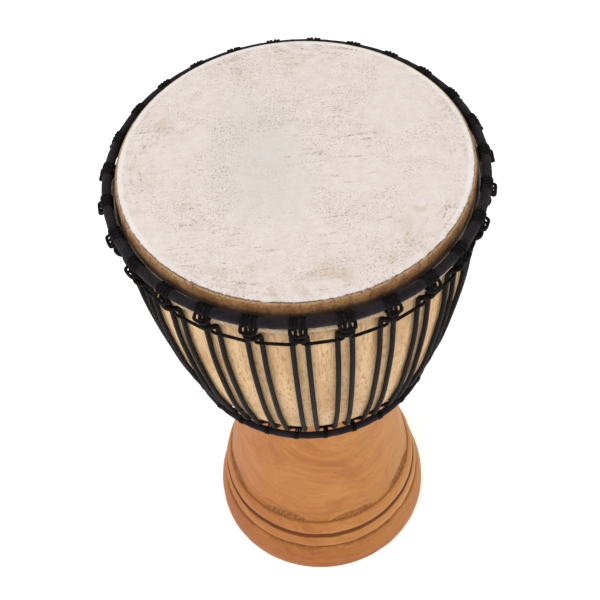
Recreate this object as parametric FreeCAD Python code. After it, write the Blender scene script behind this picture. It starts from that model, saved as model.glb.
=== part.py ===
import FreeCAD, Part
import math
import os

# Djembe: a rope-tuned goblet drum. Millimetres, +Z up, origin on the floor at
# the centre of the foot. Azimuth 0 points along -Y and grows towards +X.

os.makedirs("parts", exist_ok=True)
Vector = FreeCAD.Vector

# ---- driving dimensions -------------------------------------------------
HEIGHT = 600.0                # floor to the playing surface
SKIN = 1.0                    # goatskin
SKIN_FIT = 0.1                # skin to wood
CLEAR = 0.3                   # between pieces that move past each other
TOUCH = 0.15                  # between a cord and the hoop that it is wound on

# outside of the shell
BOWL_R = 162.0                # widest radius of the bowl
BOWL_Z = 560.0                # height of the widest place
BOWL_ARC = 700.0              # radius of the bowl's side, in profile
BOWL_END_Z = 358.0            # where the side turns into the underside
BELLY_ARC = 60.0              # radius of the underside
NECK_R = 91.0
NECK_Z = 285.0                # where the neck starts to flare to the foot
NECK_FILLET = 14.0            # between neck and underside
FOOT_R = 131.0
FOOT_EDGE = 2.5               # rounding of the foot's lower edge
RIM_BULGE = (129.4, 24.0)     # a point on the rim's swelling side

# carved beads and grooves of the foot: (radius, height) at their edges
RIM_TOP = (124.7, 40.0)
LOWER_GROOVE = (120.4, 43.5)
LOWER_BEAD = [(122.4, 47.0), (122.2, 56.0), (119.3, 64.0)]
MIDDLE_GROOVE = (115.4, 67.5)
UPPER_BEAD = [(118.0, 71.0), (116.8, 80.5), (112.4, 89.0)]
UPPER_GROOVE = (107.4, 96.5)
FLARE_FOOT = (108.4, 106.0)   # where the plain flare begins

# inside of the shell
WALL = 16.0                   # wood behind the bowl's side
EDGE_ROUND = 5.5              # outer rounding of the bearing edge
EDGE_FLAT = 3.0               # crest of the bearing edge
EDGE_CHAMFER = (145.6, 589.0)
THROAT_R = 62.0
THROAT_TOP = 314.0
THROAT_LOW = 296.0
THROAT_LIP = (68.0, 327.0)    # a point on the rounding between throat and bowl floor
FLOOR_END = 78.0              # where the bowl's round floor ends, degrees below level
MOUTH_R = 113.0               # inside radius at the floor

# hoops: centre radius and height, rod radius
CLOTH = 0.8                   # cloth wrapped round a steel hoop
CROWN = (171.1, 586.0)
CROWN_ROD = 4.0
LOW_ROD = 3.2
LOW_ANGLE = 36.0              # where the rope leaves the underside, degrees below level
LOW_REACH = 5.0               # from there along the rope to the low hoop
FLESH_Z = 573.4
FLESH_ROD = 3.0
SKIN_HOOK_END = 75.0          # degrees round the flesh hoop to the trimmed edge

# cords
ROPE = 4.8                    # tension rope diameter
LOOP = 3.0                    # crown loop cord diameter
BIND = 2.0                    # low loop cord diameter
HITCHES = 27
FIRST = -3.1                  # azimuth of the first hitch, degrees
PITCH = 360.0 / HITCHES
TIE_GAP = 13                  # the gap at the back where the ends are tied
BACK = FIRST + (TIE_GAP + 0.5) * PITCH
LEG = 6.4                     # half the spacing of a pair of rope legs
INNER = 2.05                  # a hitch's strands, sideways from its middle
OUTER = 5.25
ROPE_KNOT = (110.0, 316.0)    # radius and height of the knots at the back
CROWN_KNOT = (170.4, 554.8)
LOW_KNOT = (126.5, 318.5)


# ---- helpers ------------------------------------------------------------
def at(azimuth, radius, sideways, height):
    """A point given in the upright frame that faces out at an azimuth in degrees."""
    a = math.radians(azimuth)
    outward = Vector(math.sin(a), -math.cos(a), 0)
    along = Vector(math.cos(a), math.sin(a), 0)
    return outward * radius + along * sideways + Vector(0, 0, height)


def rz(point):
    """A profile point (radius, height) in the XZ plane."""
    return Vector(point[0], 0, point[1])


def on_circle(centre, radius, degrees):
    """A profile point on a circle, with the angle counted from straight out, upwards."""
    a = math.radians(degrees)
    return centre[0] + radius * math.cos(a), centre[1] + radius * math.sin(a)


def line(start, end):
    return Part.LineSegment(rz(start), rz(end)).toShape()


def arc(start, middle, end):
    return Part.Arc(rz(start), rz(middle), rz(end)).toShape()


def revolve(edges):
    """The solid that a closed profile sweeps round the Z axis."""
    face = Part.Face(Part.Wire(edges))
    return face.revolve(Vector(0, 0, 0), Vector(0, 0, 1), 360)


def ring(centre, radius, bore=0.0):
    """A round hoop, or with a bore the sleeve wrapped round one."""
    hoop = Part.makeTorus(centre[0], radius)
    if bore:
        hoop = hoop.cut(Part.makeTorus(centre[0], bore))
    hoop.translate(Vector(0, 0, centre[1]))
    return hoop


def rounded_path(points, radii):
    """Straight runs through the points, with a tangent arc of the given radius at each."""
    edges = []
    last = points[0]
    for before, point, after, radius in zip(points, points[1:], points[2:], radii[1:]):
        back = (before - point).normalize()
        ahead = (after - point).normalize()
        half_turn = (math.pi - back.getAngle(ahead)) / 2
        reach = radius * math.tan(half_turn)
        start = point + back * reach
        end = point + ahead * reach
        inside = (back + ahead).normalize()
        middle = point + inside * (radius / math.cos(half_turn) - radius)
        edges.append(Part.LineSegment(last, start).toShape())
        edges.append(Part.Arc(start, middle, end).toShape())
        last = end
    edges.append(Part.LineSegment(last, points[-1]).toShape())
    return Part.Wire(edges)


def cord(name, route, diameter):
    """A cord of round section along a route of (point, radius) pairs."""
    points = [step[0] for step in route]
    radii = [step[1] for step in route]
    path = rounded_path(points, radii)
    section = Part.Circle(points[0], points[1] - points[0], diameter / 2)
    solid = path.makePipeShell([Part.Wire([section.toShape()])], True, False)
    expected = path.Length * math.pi * diameter ** 2 / 4
    report = "%s: length %.0f mm, smallest radius %.1f mm, volume %.4f of section times length"
    print(report % (name, path.Length, min(radii[1:-1]), solid.Volume / expected))
    return solid


def save(name, shape):
    shape.exportStep("parts/%s.step" % name)


# ---- shell --------------------------------------------------------------
def side_radius(height):
    """Radius of the bowl's side at a height."""
    return BOWL_R - BOWL_ARC + math.sqrt(BOWL_ARC ** 2 - (height - BOWL_Z) ** 2)


SIDE_CENTRE = (BOWL_R - BOWL_ARC, BOWL_Z)
TURN = math.degrees(math.asin((BOWL_Z - BOWL_END_Z) / BOWL_ARC))
BELLY_CENTRE = on_circle(SIDE_CENTRE, BOWL_ARC - BELLY_ARC, -TURN)
CREST_Z = HEIGHT - SKIN - SKIN_FIT
EDGE_Z = CREST_Z - EDGE_ROUND
EDGE_R = side_radius(EDGE_Z)
CREST_R = EDGE_R - EDGE_ROUND


def shell():
    # outside, from the floor up
    edge_centre = (FOOT_R - FOOT_EDGE, FOOT_EDGE)
    rim_low = (FOOT_R, FOOT_EDGE)
    outline = [
        arc(on_circle(edge_centre, FOOT_EDGE, -90), on_circle(edge_centre, FOOT_EDGE, -45), rim_low),
        arc(rim_low, RIM_BULGE, RIM_TOP),
        line(RIM_TOP, LOWER_GROOVE),
        line(LOWER_GROOVE, LOWER_BEAD[0]),
        arc(*LOWER_BEAD),
        line(LOWER_BEAD[2], MIDDLE_GROOVE),
        line(MIDDLE_GROOVE, UPPER_BEAD[0]),
        arc(*UPPER_BEAD),
        arc(UPPER_BEAD[2], UPPER_GROOVE, FLARE_FOOT),
    ]
    run = FLARE_FOOT[0] - NECK_R
    rise = NECK_Z - FLARE_FOOT[1]
    flare = (run ** 2 + rise ** 2) / (2 * run)
    flare_centre = (NECK_R + flare, NECK_Z)
    half = math.degrees(math.asin(rise / flare)) / 2
    neck_low = (NECK_R, NECK_Z)
    outline.append(arc(FLARE_FOOT, on_circle(flare_centre, flare, 180 + half), neck_low))

    # neck, its fillet, the underside and the side of the bowl
    fillet_r = NECK_R + NECK_FILLET
    across = fillet_r - BELLY_CENTRE[0]
    reach = BELLY_ARC + NECK_FILLET
    fillet_centre = (fillet_r, BELLY_CENTRE[1] - math.sqrt(reach ** 2 - across ** 2))
    neck_top = (NECK_R, fillet_centre[1])
    lean = math.degrees(math.acos(across / reach))
    belly_low = on_circle(BELLY_CENTRE, BELLY_ARC, -lean)
    side_low = on_circle(BELLY_CENTRE, BELLY_ARC, -TURN)
    side_top = (EDGE_R, EDGE_Z)
    crest = (CREST_R, CREST_Z)
    outline += [
        line(neck_low, neck_top),
        arc(neck_top, on_circle(fillet_centre, NECK_FILLET, 180 - lean / 2), belly_low),
        arc(belly_low, on_circle(BELLY_CENTRE, BELLY_ARC, -(lean + TURN) / 2), side_low),
        arc(side_low, on_circle(SIDE_CENTRE, BOWL_ARC, -TURN / 2), side_top),
        arc(side_top, on_circle((CREST_R, EDGE_Z), EDGE_ROUND, 45), crest),
    ]

    # bearing edge and inside, from the top down
    crest_in = (CREST_R - EDGE_FLAT, CREST_Z)
    bowl_in_top = (BOWL_R - WALL, BOWL_Z)
    bowl_in_low = on_circle(BELLY_CENTRE, BELLY_ARC - WALL, -TURN)
    floor_in = on_circle(BELLY_CENTRE, BELLY_ARC - WALL, -FLOOR_END)
    throat_top = (THROAT_R, THROAT_TOP)
    throat_low = (THROAT_R, THROAT_LOW)
    mouth = (MOUTH_R, 0.0)
    outline += [
        line(crest, crest_in),
        line(crest_in, EDGE_CHAMFER),
        line(EDGE_CHAMFER, bowl_in_top),
        arc(bowl_in_top, on_circle(SIDE_CENTRE, BOWL_ARC - WALL, -TURN / 2), bowl_in_low),
        arc(bowl_in_low, on_circle(BELLY_CENTRE, BELLY_ARC - WALL, -45), floor_in),
        arc(floor_in, THROAT_LIP, throat_top),
        line(throat_top, throat_low),
        line(throat_low, mouth),
        line(mouth, (FOOT_R - FOOT_EDGE, 0.0)),
    ]
    return revolve(outline)


# ---- skin and hoops -----------------------------------------------------
SKIN_IN = side_radius(FLESH_Z) + SKIN_FIT
FLESH = (SKIN_IN + SKIN + CLEAR + FLESH_ROD, FLESH_Z)
CROWN_TUBE = CROWN_ROD + CLOTH
LOW_TUBE = LOW_ROD + CLOTH

# The rope follows the bowl's side and underside, leaves it on a straight run, and
# passes between the low hoop and the wood.
SIDE_ROPE = BOWL_ARC + CLEAR + ROPE / 2        # the rope's own arc on the side
BELLY_ROPE = BELLY_ARC + CLEAR + ROPE / 2      # the rope's own arc on the underside
LOW_ROPE = LOW_TUBE + 2 * CLEAR + ROPE / 2     # the rope's distance from the low hoop


def rope_run(reach):
    """A point on the straight run, a distance past the place where it leaves the wood."""
    r, z = on_circle(BELLY_CENTRE, BELLY_ROPE, -LOW_ANGLE)
    a = math.radians(LOW_ANGLE)
    return r - reach * math.sin(a), z - reach * math.cos(a)


LOW = on_circle(rope_run(LOW_REACH), LOW_ROPE, -LOW_ANGLE)


def goatskin_head():
    """The skin: flat on top, folded over the bearing edge, hooked round the flesh hoop."""
    corner = (CREST_R, EDGE_Z)
    rim = (CREST_R, HEIGHT)
    rim_under = (CREST_R, HEIGHT - SKIN)
    outer = EDGE_ROUND + SKIN_FIT + SKIN
    inner = EDGE_ROUND + SKIN_FIT
    hook_in = FLESH_ROD + CLEAR
    hook_out = hook_in + SKIN
    side_out = on_circle(FLESH, hook_in, 180)
    side_in = on_circle(FLESH, hook_out, 180)
    end_in = on_circle(FLESH, hook_in, SKIN_HOOK_END)
    end_out = on_circle(FLESH, hook_out, SKIN_HOOK_END)
    return revolve([
        line((0, HEIGHT - SKIN), (0, HEIGHT)),
        line((0, HEIGHT), rim),
        arc(rim, on_circle(corner, outer, 45), on_circle(corner, outer, 0)),
        line(on_circle(corner, outer, 0), side_out),
        arc(side_out, on_circle(FLESH, hook_in, -60), end_in),
        line(end_in, end_out),
        arc(end_out, on_circle(FLESH, hook_out, -60), side_in),
        line(side_in, on_circle(corner, inner, 0)),
        arc(on_circle(corner, inner, 0), on_circle(corner, inner, 45), rim_under),
        line(rim_under, (0, HEIGHT - SKIN)),
    ])


# ---- tension rope -------------------------------------------------------
ARCH = (173.9, 565.0)         # top of the rope's arch round a neck: radius, height
ARCH_HALF = 5.1               # half the arch's flat top
ARCH_BEND = 4.2
LEG_TOP = (164.7, 549.5)      # where a leg leaves the bowl for its arch
LEG_TOP_BEND = 40.0
LEG_TOP_TURN = 1.4            # where the side's arc ends below it, degrees below level
SHOULDER = (166.3, 562.3)
LOW_BAR = rope_run(18.0)      # the rope's turn behind the low hoop
LOW_BEND = 7.2
TIED_BAR = rope_run(13.0)     # the same at the two tied ends


def leg(azimuth, side):
    """One leg of the rope, as (point, radius) pairs from the underside up to the arch."""
    stretch = SIDE_ROPE / math.cos(math.radians((TURN - LEG_TOP_TURN) / 2))
    side_vertex = on_circle(SIDE_CENTRE, stretch, -(TURN + LEG_TOP_TURN) / 2)
    stretch = BELLY_ROPE / math.cos(math.radians((LOW_ANGLE - TURN) / 2))
    belly_vertex = on_circle(BELLY_CENTRE, stretch, -(LOW_ANGLE + TURN) / 2)
    steps = [
        (belly_vertex, side * LEG, BELLY_ROPE),
        (side_vertex, side * LEG, SIDE_ROPE),
        (LEG_TOP, side * LEG, LEG_TOP_BEND),
        (SHOULDER, side * LEG, ARCH_BEND),
        (ARCH, side * ARCH_HALF, ARCH_BEND),
    ]
    return [(at(azimuth, p[0], t, p[1]), radius) for p, t, radius in steps]


def tension_rope():
    """One rope, laced down and up between the hitches and the low hoop."""
    route = [(at(BACK, ROPE_KNOT[0], ROPE * 0.55, ROPE_KNOT[1]), 0)]
    for k in range(HITCHES):
        azimuth = FIRST + (TIE_GAP + 1 + k) * PITCH
        down = TIED_BAR if k == 0 else LOW_BAR
        up = TIED_BAR if k == HITCHES - 1 else LOW_BAR
        route.append((at(azimuth, down[0], -LEG, down[1]), LOW_BEND))
        route += leg(azimuth, -1)
        route += reversed(leg(azimuth, 1))
        route.append((at(azimuth, up[0], LEG, up[1]), LOW_BEND))
    route.append((at(BACK, ROPE_KNOT[0], -ROPE * 0.55, ROPE_KNOT[1]), 0))
    return cord("tension_rope", route, ROPE)


# ---- loop cords ---------------------------------------------------------
CROWN_RUN = (170.6, 554.8)    # the cord's straight run between hitches: radius, height
CROWN_WRAP = CROWN_TUBE + TOUCH + LOOP / 2     # the cord's distance from the crown ring
LOW_WRAP = LOW_TUBE + TOUCH + BIND / 2         # the cord's distance from the low hoop
LOW_TURNS = 2                 # turns of cord in each low hitch
LOW_PACE = 0.62               # sideways from corner to corner of those turns


def crown_hitch_half(azimuth, side):
    """Half a hitch: neck, two turns round the crown ring, and half of the front bar."""
    front = CROWN[0] + CROWN_WRAP
    back = CROWN[0] - CROWN_WRAP
    over = CROWN[1] + CROWN_WRAP
    under = CROWN[1] - CROWN_WRAP
    turn = CROWN_WRAP - 0.2
    # (sideways, radius, height, bend)
    steps = [
        (1.9, CROWN_RUN[0], CROWN_RUN[1], 1.9),        # up from the straight run
        (1.75, 169.3, 565.0, 5.0),                     # behind the rope's arch
        (2.6, 173.6, 574.0, 8.0),
        (INNER, front, 581.6, 4.5),                    # first turn round the ring
        (INNER, front, over, turn),
        (INNER, back, over, turn),
        (INNER + 0.3, back, under, turn),
        (OUTER, front, under, turn),                   # second turn
        (OUTER, front, over, turn),
        (OUTER, back, over, turn),
        (OUTER + 0.6, back, under, turn),
        (8.7, CROWN[0] + 8.5, CROWN[1] - 6.5, 2.4),    # out to the bar across the front
        (3.0, CROWN[0] + 7.7, CROWN[1] - 9.0, 4.0),
    ]
    return [(at(azimuth, r, side * t, z), bend) for t, r, z, bend in steps]


def crown_loop_cord():
    """One cord: a hitch on the crown ring, a straight run to the next, all the way round."""
    route = [(at(BACK, CROWN_KNOT[0], LOOP * 0.7, CROWN_KNOT[1]), 0)]
    for k in range(HITCHES):
        azimuth = FIRST + (TIE_GAP + 1 + k) * PITCH
        route += crown_hitch_half(azimuth, -1)
        route += reversed(crown_hitch_half(azimuth, 1))
    route.append((at(BACK, CROWN_KNOT[0], -LOOP * 0.7, CROWN_KNOT[1]), 0))
    return cord("crown_loop_cord", route, LOOP)


def low_hitch(azimuth):
    """The turns of cord that bind one turn of the rope to the low hoop."""
    gap = math.hypot(LOW_BAR[0] - LOW[0], LOW_BAR[1] - LOW[1])
    inward = ((LOW_BAR[0] - LOW[0]) / gap, (LOW_BAR[1] - LOW[1]) / gap)
    slim = ROPE / 2 + TOUCH + BIND / 2
    wide = LOW_WRAP + 0.5
    # each stop: (below, inward, bend), counted from the hoop's centre
    rest = (LOW_WRAP + 0.3, 4.0, 2.0)
    turn = [
        (wide, -LOW_WRAP, 4.6),
        (-wide, -LOW_WRAP, 4.6),
        (-slim, gap + slim, 3.2),
        (slim, gap + slim, 3.2),
    ]
    stops = [rest] + turn * LOW_TURNS + [rest]
    middle = (len(stops) - 1) / 2
    route = []
    for step, (below, along, bend) in enumerate(stops):
        r = LOW[0] - below * inward[1] + along * inward[0]
        z = LOW[1] + below * inward[0] + along * inward[1]
        route.append((at(azimuth, r, (step - middle) * LOW_PACE, z), bend))
    return route


def low_loop_cord():
    """One cord that binds every turn of the rope to the low hoop."""
    route = [(at(BACK, LOW_KNOT[0], BIND * 0.7, LOW_KNOT[1]), 0)]
    for k in range(HITCHES - 1):
        route += low_hitch(BACK + (k + 1) * PITCH)
    route.append((at(BACK, LOW_KNOT[0], -BIND * 0.7, LOW_KNOT[1]), 0))
    return cord("low_loop_cord", route, BIND)


# ---- knots --------------------------------------------------------------
def knot(place, size, tails, diameter):
    """A tight lump of cord at the back, with two short tails: (sideways, outward, drop)."""
    radius, height = place
    centre = at(BACK, radius, 0, height)
    body = Part.makeSphere(size / 2, centre)
    for sideways, outward, drop in tails:
        tip = at(BACK, radius + outward, sideways, height - drop)
        body = body.fuse(Part.makeCylinder(diameter / 2, (tip - centre).Length, centre, tip - centre))
    return body


# ---- the pieces ---------------------------------------------------------
save("shell", shell())
save("goatskin_head", goatskin_head())
save("flesh_hoop", ring(FLESH, FLESH_ROD))
save("crown_ring", ring(CROWN, CROWN_ROD))
save("crown_ring_cloth", ring(CROWN, CROWN_TUBE, CROWN_ROD))
save("crown_loop_cord", crown_loop_cord())
save("crown_cord_knot", knot(CROWN_KNOT, 7.0, [(-4.0, 1.5, 16.0), (5.0, 1.0, 13.0)], LOOP))
save("low_ring", ring(LOW, LOW_ROD))
save("low_ring_cloth", ring(LOW, LOW_TUBE, LOW_ROD))
save("low_loop_cord", low_loop_cord())
save("low_cord_knot", knot(LOW_KNOT, 5.0, [(-2.5, 1.5, 13.0), (2.5, 2.0, 10.0)], BIND))
save("tension_rope", tension_rope())
save("rope_knot", knot(ROPE_KNOT, 14.0, [(-7.0, 4.0, 34.0), (6.0, 3.0, 29.0)], ROPE))
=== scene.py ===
import math
import random

import bpy
import numpy as np
from mathutils import Matrix, Vector, noise


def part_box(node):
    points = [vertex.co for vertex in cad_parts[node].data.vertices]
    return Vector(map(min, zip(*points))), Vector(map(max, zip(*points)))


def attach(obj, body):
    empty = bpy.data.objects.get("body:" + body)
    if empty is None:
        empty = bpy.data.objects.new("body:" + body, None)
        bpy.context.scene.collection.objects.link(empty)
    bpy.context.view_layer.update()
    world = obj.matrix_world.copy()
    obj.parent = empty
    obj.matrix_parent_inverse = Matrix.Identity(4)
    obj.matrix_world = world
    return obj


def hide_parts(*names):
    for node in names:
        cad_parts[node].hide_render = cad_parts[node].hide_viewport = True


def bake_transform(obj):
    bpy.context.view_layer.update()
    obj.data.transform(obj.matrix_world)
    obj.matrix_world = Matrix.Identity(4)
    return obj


# Djembe. Metres, +Z up, the foot's centre at the origin. Azimuth 0 points along -Y and
# grows towards +X. Lengths named _MM or given in profile lists are millimetres.
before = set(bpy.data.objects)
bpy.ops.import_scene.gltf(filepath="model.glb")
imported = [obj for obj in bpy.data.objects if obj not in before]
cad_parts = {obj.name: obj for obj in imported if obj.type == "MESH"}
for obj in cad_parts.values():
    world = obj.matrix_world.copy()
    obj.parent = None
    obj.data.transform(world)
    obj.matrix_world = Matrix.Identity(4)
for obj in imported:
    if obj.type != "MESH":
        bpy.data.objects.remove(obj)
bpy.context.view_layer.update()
MM = 0.001
random.seed(11)

# ---- numbers shared with the CAD part, in millimetres -------------------------
HITCHES = 27
FIRST = -3.1
PITCH = 360.0 / HITCHES
TIE_GAP = 13
BACK = FIRST + (TIE_GAP + 0.5) * PITCH
ROPE = 4.8
LOOP = 3.0
BIND = 2.0
LEG = 6.4
INNER = 2.05
OUTER = 5.25
CLEAR = 0.3
TOUCH = 0.15
BOWL_R = 162.0
BOWL_Z = 560.0
BOWL_ARC = 700.0
BOWL_END_Z = 358.0
BELLY_ARC = 60.0
NECK_R = 91.0
NECK_Z = 285.0
NECK_FILLET = 14.0
FOOT_R = 131.0
FOOT_EDGE = 2.5
RIM_BULGE = (129.4, 24.0)
RIM_TOP = (124.7, 40.0)
LOWER_GROOVE = (120.4, 43.5)
LOWER_BEAD = [(122.4, 47.0), (122.2, 56.0), (119.3, 64.0)]
MIDDLE_GROOVE = (115.4, 67.5)
UPPER_BEAD = [(118.0, 71.0), (116.8, 80.5), (112.4, 89.0)]
UPPER_GROOVE = (107.4, 96.5)
FLARE_FOOT = (108.4, 106.0)
WALL = 16.0
SKIN = 1.0
SKIN_FIT = 0.1
EDGE_ROUND = 5.5
EDGE_FLAT = 3.0
EDGE_CHAMFER = (145.6, 589.0)
FLOOR_END = 78.0
THROAT_LIP = (68.0, 327.0)
THROAT_R = 62.0
THROAT_TOP = 314.0
THROAT_LOW = 296.0
MOUTH_R = 113.0
CROWN_ROD = 4.0
LOW_ROD = 3.2

# ---- numbers of the visual pieces only, in millimetres but for the last ---------
THIN_CLOTH = 0.36             # cloth on a hoop, at the thin side of a turn
CORD_BED = 0.45               # cloth under a cord that is wound tight on a hoop


# ---- places ---------------------------------------------------------------------
def hoop_of(node):
    """Centre radius, height and tube radius of a hoop's CAD node, in millimetres."""
    low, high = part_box(node)
    tube = (high.z - low.z) / 2
    return (high.x - tube) / MM, (high.z + low.z) / 2 / MM, tube / MM


CROWN = hoop_of("crown_ring_cloth")
LOW = hoop_of("low_ring_cloth")
FLESH = hoop_of("flesh_hoop")
HEAD_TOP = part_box("goatskin_head")[1].z / MM


def at(azimuth, radius, sideways, height):
    """A point in metres, given in millimetres in the upright frame that faces an azimuth."""
    a = math.radians(azimuth)
    x = math.sin(a) * radius + math.cos(a) * sideways
    y = -math.cos(a) * radius + math.sin(a) * sideways
    return Vector((x, y, height)) * MM


def on_circle(centre, radius, degrees):
    """A profile point on a circle, with the angle counted from straight out, upwards."""
    a = math.radians(degrees)
    return centre[0] + radius * math.cos(a), centre[1] + radius * math.sin(a)


def arc(centre, radius, start, end, steps):
    """Profile points along an arc, both ends included."""
    return [on_circle(centre, radius, start + (end - start) * i / steps) for i in range(steps + 1)]


def run(start, end, steps):
    """Profile points along a straight run, without its start."""
    return [
        (start[0] + (end[0] - start[0]) * i / steps, start[1] + (end[1] - start[1]) * i / steps)
        for i in range(1, steps + 1)
    ]


def side_radius(height):
    """Radius of the bowl's side at a height."""
    return BOWL_R - BOWL_ARC + math.sqrt(BOWL_ARC ** 2 - (height - BOWL_Z) ** 2)


def through(points, steps):
    """Points along the circle that passes through three profile points."""
    (ax, ay), (bx, by), (cx, cy) = points
    d = 2 * (ax * (by - cy) + bx * (cy - ay) + cx * (ay - by))
    a2, b2, c2 = ax * ax + ay * ay, bx * bx + by * by, cx * cx + cy * cy
    x = (a2 * (by - cy) + b2 * (cy - ay) + c2 * (ay - by)) / d
    y = (a2 * (cx - bx) + b2 * (ax - cx) + c2 * (bx - ax)) / d
    radius = math.hypot(ax - x, ay - y)
    start = math.degrees(math.atan2(ay - y, ax - x))
    end = math.degrees(math.atan2(cy - y, cx - x))
    end = start + (end - start + 180.0) % 360.0 - 180.0
    return arc((x, y), radius, start, end, steps)


SIDE_CENTRE = (BOWL_R - BOWL_ARC, BOWL_Z)
TURN = math.degrees(math.asin((BOWL_Z - BOWL_END_Z) / BOWL_ARC))
BELLY_CENTRE = on_circle(SIDE_CENTRE, BOWL_ARC - BELLY_ARC, -TURN)
EDGE_Z = HEAD_TOP - SKIN - SKIN_FIT - EDGE_ROUND
EDGE_CENTRE = (side_radius(EDGE_Z) - EDGE_ROUND, EDGE_Z)


def smooth(value, low, high):
    """0 below low, 1 above high, and a smooth step between."""
    t = min(max((value - low) / (high - low), 0.0), 1.0)
    return t * t * (3 - 2 * t)


# ---- camera, light and floor ----------------------------------------------------
def add_camera():
    """Above the front of the drum, looking down, with a slight roll."""
    down = math.radians(53.17)
    turn = math.radians(-0.58)
    roll = math.radians(-5.46)
    ahead = Vector((math.sin(turn) * math.cos(down), math.cos(turn) * math.cos(down), -math.sin(down)))
    level = ahead.cross(Vector((0, 0, 1))).normalized()
    above = level.cross(ahead)
    right = math.cos(roll) * level + math.sin(roll) * above
    top = math.cos(roll) * above - math.sin(roll) * level
    data = bpy.data.cameras.new("camera")
    data.lens = 66.1
    data.sensor_width = 36.0
    data.clip_start = 0.05
    camera = bpy.data.objects.new("camera", data)
    bpy.context.scene.collection.objects.link(camera)
    turned = Matrix((right, top, -ahead)).transposed().to_4x4()
    camera.matrix_world = Matrix.Translation((0.0, -0.690, 1.311)) @ turned
    bpy.context.scene.camera = camera


def add_lamp(name, place, target, size, power, colour=(1, 1, 1)):
    """A large soft area lamp."""
    data = bpy.data.lights.new(name, "AREA")
    data.shape = "DISK"
    data.size = size
    data.energy = power
    data.color = colour
    lamp = bpy.data.objects.new(name, data)
    bpy.context.scene.collection.objects.link(lamp)
    lamp.location = place
    lamp.rotation_euler = (Vector(target) - Vector(place)).to_track_quat("-Z", "Y").to_euler()


def add_studio():
    world = bpy.data.worlds.new("studio")
    world.use_nodes = True
    sky = world.node_tree.nodes["Background"]
    sky.inputs["Color"].default_value = (1.0, 0.995, 0.985, 1)
    sky.inputs["Strength"].default_value = 0.60
    bpy.context.scene.world = world
    middle = (0, 0, 0.35)
    add_lamp("key", (-1.5, -1.3, 2.6), middle, 1.5, 26)
    add_lamp("fill", (1.9, -1.2, 1.7), middle, 1.6, 12)
    add_lamp("rim", (0.3, 2.0, 1.9), middle, 1.4, 9)
    bpy.context.scene.view_settings.view_transform = "Standard"


# ---- shader building ------------------------------------------------------------
class Shader:
    """A material whose nodes are made by short calls; any input takes a value or a socket."""

    def __init__(self, name, **constants):
        self.material = bpy.data.materials.new(name)
        self.material.use_nodes = True
        self.tree = self.material.node_tree
        self.surface = self.tree.nodes["Principled BSDF"]
        for socket, value in constants.items():
            self.surface.inputs[socket.replace("_", " ")].default_value = value
        self.place = self.make("ShaderNodeTexCoord").outputs["Object"]

    def make(self, kind, inputs=None, **settings):
        node = self.tree.nodes.new(kind)
        for name, value in settings.items():
            setattr(node, name, value)
        for key, value in (inputs or {}).items():
            self.give(node.inputs[key], value)
        return node

    def give(self, socket, value):
        if isinstance(value, bpy.types.NodeSocket):
            self.tree.links.new(value, socket)
        else:
            socket.default_value = value

    def set(self, socket, value):
        self.give(self.surface.inputs[socket], value)

    def sum(self, operation, a, b=0.0, c=0.0):
        """One step of arithmetic."""
        return self.make("ShaderNodeMath", {0: a, 1: b, 2: c}, operation=operation).outputs[0]

    def stretch(self, vector, scale, turn=(0, 0, 0)):
        node = self.make("ShaderNodeMapping", {"Vector": vector, "Scale": scale, "Rotation": turn})
        return node.outputs[0]

    def noise(self, vector, scale, detail=3.0, rough=0.55, bend=0.0):
        node = self.make("ShaderNodeTexNoise", {
            "Vector": vector, "Scale": scale, "Detail": detail, "Roughness": rough, "Distortion": bend,
        })
        return node.outputs["Fac"]

    def step(self, value, low, high, bottom=0.0, top=1.0):
        """A smooth step from bottom to top as value goes from low to high."""
        node = self.make("ShaderNodeMapRange", {
            "Value": value, "From Min": low, "From Max": high, "To Min": bottom, "To Max": top,
        }, interpolation_type="SMOOTHSTEP")
        return node.outputs[0]

    def mix(self, factor, a, b, blend="MIX"):
        """A mix of two colours."""
        node = self.tree.nodes.new("ShaderNodeMix")
        node.data_type = "RGBA"
        node.blend_type = blend
        self.give(node.inputs[0], factor)
        self.give(node.inputs[6], a if isinstance(a, bpy.types.NodeSocket) else (*a, 1))
        self.give(node.inputs[7], b if isinstance(b, bpy.types.NodeSocket) else (*b, 1))
        return node.outputs[2]

    def parts(self, vector):
        node = self.make("ShaderNodeSeparateXYZ", {0: vector})
        return node.outputs[0], node.outputs[1], node.outputs[2]

    def vector(self, x, y, z):
        return self.make("ShaderNodeCombineXYZ", {0: x, 1: y, 2: z}).outputs[0]

    def around(self):
        """The distance from the drum's axis, and the unit direction away from it."""
        flat = self.stretch(self.place, (1, 1, 0))
        radius = self.make("ShaderNodeVectorMath", {0: flat}, operation="LENGTH").outputs["Value"]
        out = self.make("ShaderNodeVectorMath", {0: flat}, operation="NORMALIZE").outputs[0]
        return radius, out

    def attribute(self, name):
        return self.make("ShaderNodeAttribute", attribute_name=name).outputs["Fac"]

    def bump(self, height, distance, strength=1.0):
        node = self.make("ShaderNodeBump", {
            "Height": height, "Distance": distance, "Strength": strength,
        })
        self.tree.links.new(node.outputs[0], self.surface.inputs["Normal"])


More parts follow.
